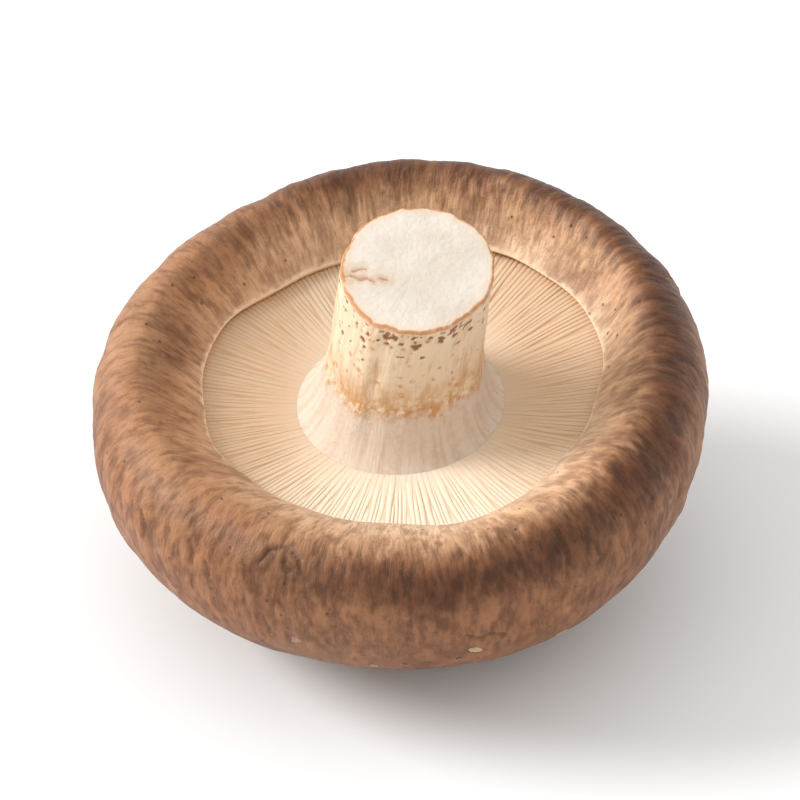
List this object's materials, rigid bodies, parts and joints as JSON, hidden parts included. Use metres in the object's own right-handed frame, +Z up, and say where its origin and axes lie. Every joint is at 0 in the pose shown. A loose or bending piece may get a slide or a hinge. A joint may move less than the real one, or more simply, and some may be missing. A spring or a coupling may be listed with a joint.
{
  "type": "shiitake mushroom",
  "caption": "Fresh shiitake mushroom lying on its domed brown cap, with a rolled-in rim, cream radiating gills and a short stout stem with a slanting cut end.",
  "frame": {"origin": "centre of the bounding box in X and Y, at the level of the surface that the dome rests on", "axes": "+Z up from the surface, towards the gills and the stem's cut end; +X to the right and +Y to the back as the picture shows it"},
  "size_m": [0.0608, 0.06, 0.0412],
  "materials": {
    "cap_skin": "dry, finely fibrous brown skin with a soft sheen, paler at the rolled-in edge",
    "gills": "matt ivory, thin crowded plates",
    "stem": "matt cream fibres with brown flecks, white felted cut end"
  },
  "bodies": {
    "root": {"cap": "cap_skin", "gills": "gills", "stem": "stem"}
  },
  "joints": []
}
